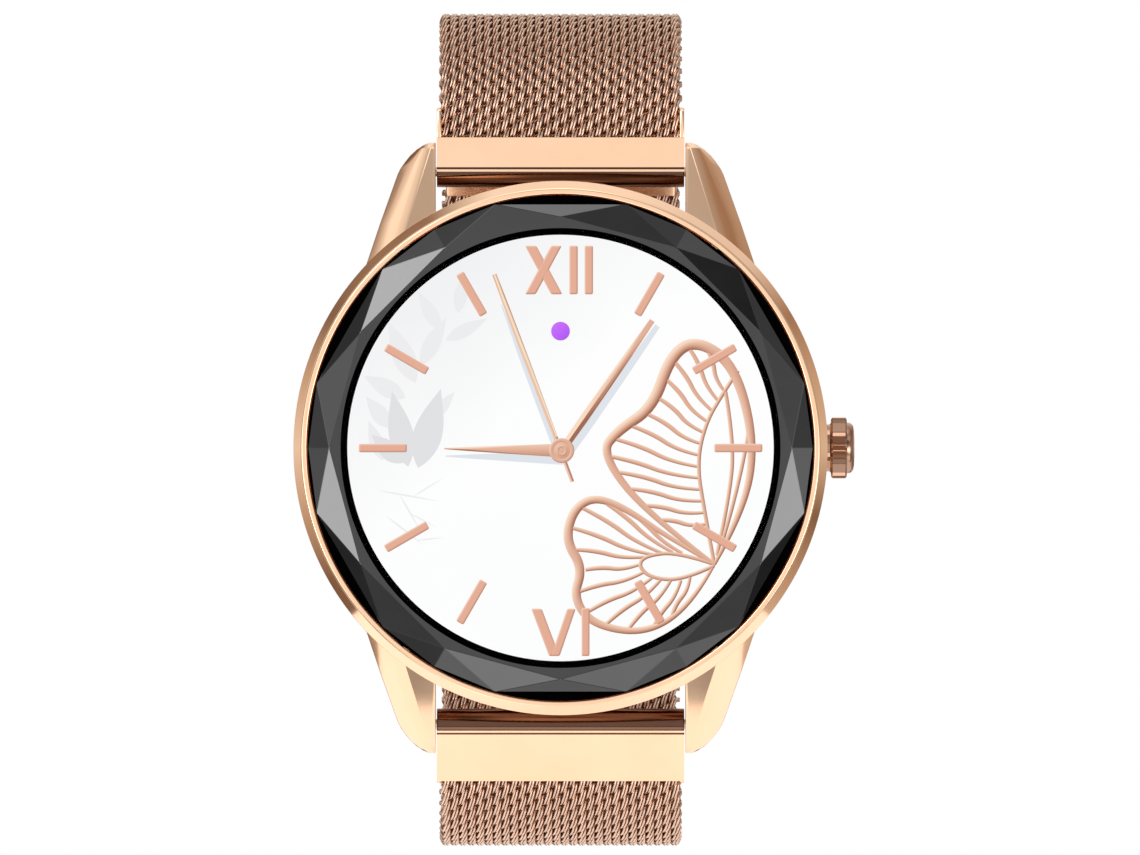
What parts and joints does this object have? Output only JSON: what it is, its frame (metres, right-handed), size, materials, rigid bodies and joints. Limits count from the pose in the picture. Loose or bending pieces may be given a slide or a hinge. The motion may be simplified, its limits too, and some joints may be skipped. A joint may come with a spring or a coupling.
{
  "type": "smartwatch",
  "caption": "Round rose-gold smartwatch with a faceted black dial surround, a fluted crown and a woven steel mesh strap that closes with a magnet.",
  "frame": {"origin": "centre of the flat back that rests on the wrist, on the sensor window's outer face", "axes": "+Y out of the back into the wrist, so the dial faces -Y; +Z towards twelve o'clock; +X towards the crown at three o'clock"},
  "size_m": [0.045, 0.0554, 0.0675],
  "materials": {
    "rose_gold": "polished rose-gold plated steel",
    "case_rose_gold": "polished rose-gold plated steel",
    "mesh": "rose-gold plated woven steel wire",
    "black_ceramic": "polished",
    "crystal": "polished",
    "sensor_glass": "dark tinted, polished",
    "rubber": "matte",
    "display": "lit panel",
    "black_plastic": "moulded",
    "flex": "polyimide film",
    "board": "solder mask",
    "steel": "plain",
    "battery_foil": "foil wrapped",
    "gold_contact": "gold plated",
    "led": "clear moulded",
    "magnet": "nickel plated"
  },
  "bodies": {
    "case": {"mid_case": "case_rose_gold", "bezel_ring": "case_rose_gold", "back_cover": "case_rose_gold", "facet_ring": "black_ceramic", "cover_glass": "crystal", "crystal_gasket": "rubber", "display_panel": "display", "display_bracket": "black_plastic", "display_flex": "flex", "main_board": "board", "chip_shield": "steel", "battery": "battery_foil", "vibration_motor": "steel", "tact_switch": "black_plastic", "sensor_board": "board", "sensor_led_1": "led", "sensor_led_2": "led", "photodiode": "black_plastic", "sensor_window": "sensor_glass", "back_seal": "rubber", "charge_contact_1": "gold_contact", "charge_contact_2": "gold_contact", "crown_tube": "rose_gold", "crown_spring": "steel", "case_screw_1": "steel", "case_screw_2": "steel", "case_screw_3": "steel", "case_screw_4": "steel"},
    "crown_plunger": {"switch_button": "black_plastic"},
    "crown": {"crown_knob": "rose_gold", "crown_stem": "steel", "crown_seal": "rubber", "crown_clip": "steel"},
    "upper_strap": {"upper_end_link": "rose_gold", "upper_mesh_band": "mesh", "upper_bar_tube": "steel", "upper_bar_spring": "steel", "clasp_housing": "rose_gold", "clasp_magnet": "magnet", "clasp_plate": "rose_gold"},
    "lower_strap": {"lower_end_link": "rose_gold", "lower_mesh_band": "mesh", "lower_bar_tube": "steel", "lower_bar_spring": "steel", "tail_cap": "rose_gold"},
    "upper_tip_1": {"upper_bar_tip_1": "steel"},
    "upper_tip_2": {"upper_bar_tip_2": "steel"},
    "lower_tip_1": {"lower_bar_tip_1": "steel"},
    "lower_tip_2": {"lower_bar_tip_2": "steel"}
  },
  "joints": [
    {"name": "crown_push", "type": "slide", "parent": "case", "child": "crown_plunger", "axis": [-1, 0, 0], "range_m": [0, 0.0005], "stiffness_N_per_m": 1500, "springref_m": -0.0006},
    {"name": "crown_turn", "type": "hinge", "parent": "crown_plunger", "child": "crown", "pos_m": [0.0222, -0.005, 0], "axis": [1, 0, 0], "continuous": true},
    {"name": "upper_strap_swing", "type": "hinge", "parent": "case", "child": "upper_strap", "pos_m": [0, -0.0026, 0.0222], "axis": [1, 0, 0], "range_deg": [0, 45]},
    {"name": "lower_strap_swing", "type": "hinge", "parent": "case", "child": "lower_strap", "pos_m": [0, -0.0026, -0.0222], "axis": [1, 0, 0], "range_deg": [-31.5, 0]},
    {"name": "upper_tip_1_slide", "type": "slide", "parent": "upper_strap", "child": "upper_tip_1", "axis": [-1, 0, 0], "range_m": [0, 0.0011], "stiffness_N_per_m": 1000, "springref_m": -0.001},
    {"name": "upper_tip_2_slide", "type": "slide", "parent": "upper_strap", "child": "upper_tip_2", "axis": [1, 0, 0], "range_m": [0, 0.0011], "stiffness_N_per_m": 1000, "springref_m": -0.001},
    {"name": "lower_tip_1_slide", "type": "slide", "parent": "lower_strap", "child": "lower_tip_1", "axis": [1, 0, 0], "range_m": [0, 0.0011], "stiffness_N_per_m": 1000, "springref_m": -0.001},
    {"name": "lower_tip_2_slide", "type": "slide", "parent": "lower_strap", "child": "lower_tip_2", "axis": [-1, 0, 0], "range_m": [0, 0.0011], "stiffness_N_per_m": 1000, "springref_m": -0.001}
  ],
  "couplings": [
    {"joint": "lower_strap_swing", "follows": "upper_strap_swing", "ratio": -0.7}
  ]
}
